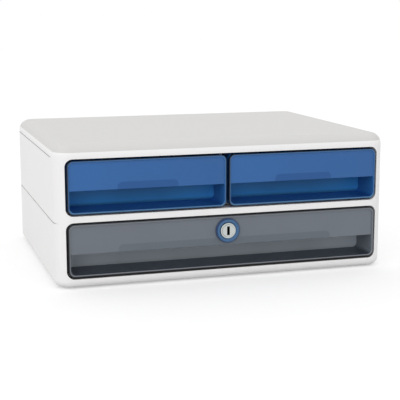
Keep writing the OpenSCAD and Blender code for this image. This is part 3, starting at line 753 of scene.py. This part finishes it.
def make_lock_barrel():
    """The barrel: a tube with a flange behind the ring."""
    face = ring_hi.y - barrel_lo.y
    tail = ring_hi.y - barrel_hi.y
    flange = (barrel_hi.x - barrel_lo.x) / 2
    profile = [
        (BARREL_BORE_R, tail), (BARREL_R, tail), (BARREL_R, 0), (flange, 0), (flange, FLANGE_D),
        (BARREL_R, FLANGE_D), (BARREL_R, face), (BARREL_BORE_R, face)]
    form = bmesh.new()
    turn(form, profile, lock_axis(), LOCK_STEPS, closed=True)
    metal = [MATERIALS["lock_metal"]]
    soften("lock_barrel_turned", "lock_barrel", BARREL_EDGE_R, metal, form=close_form(form))


def make_lock_plug():
    """The plug that turns, with a ridge in its key slot."""
    form = clean_copy("lock_plug")
    wall_x = lock_x + KEY_W / 2
    low = (wall_x - WARD_W, plug_y + WARD_START, lock_z - WARD_H / 2)
    high = (wall_x + WARD_ROOT, plug_y + WARD_END, lock_z + WARD_H / 2)
    add_block(form, low, high)

    # The key slot's walls get the dark metal, as painted shade
    def paint(polygon):
        place = polygon.calc_center_median()
        in_width = abs(place.x - lock_x) < KEY_W / 2 + NEAR
        in_height = abs(place.z - lock_z) < KEY_H / 2 + NEAR
        in_depth = plug_y + NEAR < place.y < plug_y + KEY_D
        return 1 if in_width and in_height and in_depth else 0
    metals = [MATERIALS["lock_metal"], MATERIALS["key_slot_shade"]]
    soften("lock_plug_finished", "lock_plug", FINE_EDGE_R, metals, paint=paint, form=form)


# ---------------------------------------------------------------- screws, feet and the rest

def add_cross_recess(work, rim, place, head_r, head_t):
    """Closes a screw's head inside its rim, with a tapered cross recess in the middle."""
    arm, half, depth = 0.5 * head_r, 0.13 * head_r, 0.55 * head_t
    taper = 0.7
    cross = []
    for quarter in range(4):
        for x, y in ((arm, -half), (arm, half), (half, half)):
            for _ in range(quarter):
                x, y = -y, x
            cross.append((x, y))
    mouth = [work.verts.new(place @ Vector((x, y, 0))) for x, y in cross]
    floor = [work.verts.new(place @ Vector((taper * x, taper * y, depth))) for x, y in cross]
    for i, here in enumerate(mouth):
        after = (i + 1) % len(mouth)
        work.faces.new([here, mouth[after], floor[after], floor[i]])
    work.faces.new(floor)
    around = rim + mouth
    for triangle in tessellate_polygon([[v.co for v in rim], [v.co for v in mouth]]):
        work.faces.new([around[i] for i in triangle])


def add_screw(work, corners):
    """A cross-recessed screw in the place of a plain one: domed head, shank, thread and tip."""
    low, high = extent(corners)
    size = high - low
    axis = max(range(3), key=lambda i: size[i])
    middle = (low + high) / 2
    sideways = [Vector([0 if i == axis else (c - middle)[i] for i in range(3)]).length
                for c in corners]
    head_r = max(sideways)
    shank_r = min(sideways)
    rim_r = 0.98 * head_r
    head = [c[axis] for c, away in zip(corners, sideways) if away > rim_r]
    inwards = 1 if sum(head) / len(head) < middle[axis] else -1
    start = middle.copy()
    start[axis] = low[axis] if inwards > 0 else high[axis]
    direction = Vector([inwards if i == axis else 0 for i in range(3)])
    place = Matrix.Translation(start) @ direction.to_track_quat("Z", "Y").to_matrix().to_4x4()

    head_t = max(head) - min(head)
    flat_r, dome_r, root_r = 0.72 * head_r, 0.92 * head_r, 0.8 * shank_r
    dome_t, rim_t = 0.2 * head_t, 0.55 * head_t
    profile = [(flat_r, 0), (dome_r, dome_t), (head_r, rim_t), (head_r, head_t), (shank_r, head_t)]
    length = size[axis]
    tip = length - shank_r
    turns = min(THREAD_TURNS, int((tip - head_t) / THREAD_PITCH) - 1)
    for i in range(turns):
        crest = tip + (i - turns) * THREAD_PITCH
        profile += [(shank_r, crest), (root_r, crest + THREAD_PITCH / 2)]
    profile += [(root_r, tip), (0, length)]
    rim = turn(work, profile, place, SCREW_STEPS)[0]
    add_cross_recess(work, rim, place, head_r, head_t)


def add_foot(work, corners):
    """A rubber foot with a chamfered tread and a round groove in it."""
    low, high = extent(corners)
    radius = (high.x - low.x) / 2
    height = high.z - low.z
    place = Matrix.Translation(((low.x + high.x) / 2, (low.y + high.y) / 2, low.z))
    groove = [(share * radius, z) for share, z in zip(GROOVE, (0, TREAD_D, TREAD_D, 0))]
    wall = [(radius - TREAD_D, 0), (radius, TREAD_D), (radius, height), (0, height)]
    turn(work, [(0, 0)] + groove + wall, place, FOOT_STEPS)


def make_fasteners():
    """The screws with their cross recesses, and the feet."""
    steel = [MATERIALS["steel"]]
    for node in ("base_screws", "rim_screws", "runner_screws", "strike_screws"):
        screws = bmesh.new()
        for corners in islands(clean_copy(node)):
            add_screw(screws, corners)
        form = close_form(screws)
        soften(node + "_finished", node, FINE_EDGE_R, steel, segments=1, form=form)
    feet = bmesh.new()
    for corners in islands(clean_copy("rubber_feet")):
        add_foot(feet, corners)
    form = close_form(feet)
    soften("rubber_feet_finished", "rubber_feet", FOOT_EDGE_R, [MATERIALS["rubber"]], form=form)


def make_small_pieces():
    """Everything else keeps its CAD shape, with edges as moulding, turning or stamping leaves
    them: the radius of each in millimetres."""
    radii = {
        "shelf": 0.3, "centre_divider": 0.4, "lower_runner_left": 0.5, "lower_runner_right": 0.5,
        "upper_runner_left": 0.5, "upper_runner_right": 0.5, "lower_drawer_stop": 0.4,
        "left_drawer_stop": 0.4, "right_drawer_stop": 0.4, "lock_strike": 0.4, "lock_nut": 0.4,
        "lock_cam": 0.25, "cam_screw": 0.4,
    }
    for node, radius in radii.items():
        soften(node + "_finished", node, radius * MM, [MATERIALS[SLOT[node]]], segments=2)


def dress_shells():
    """The big shells and the top panel keep their CAD meshes and get their plastics."""
    for node in ("lower_housing", "upper_housing", "top_frame"):
        NODES[node].material_slots[0].material = MATERIALS["white_shell"]
    NODES["top_panel"].material_slots[0].material = MATERIALS["top_plastic"]


make_camera()
make_world(strength=1)
make_floor(side=12, tone=0.6, glow=0.42)
make_lamp(side=1.6, power=10)
bpy.context.scene.view_settings.view_transform = "Standard"

make_front_frame()
make_drawer("left", "blue_plastic", BLUE)
make_drawer("right", "blue_plastic", BLUE)
make_drawer("lower", "grey_plastic", GREY)
make_lock_ring()
make_lock_barrel()
make_lock_plug()
make_fasteners()
make_small_pieces()
dress_shells()
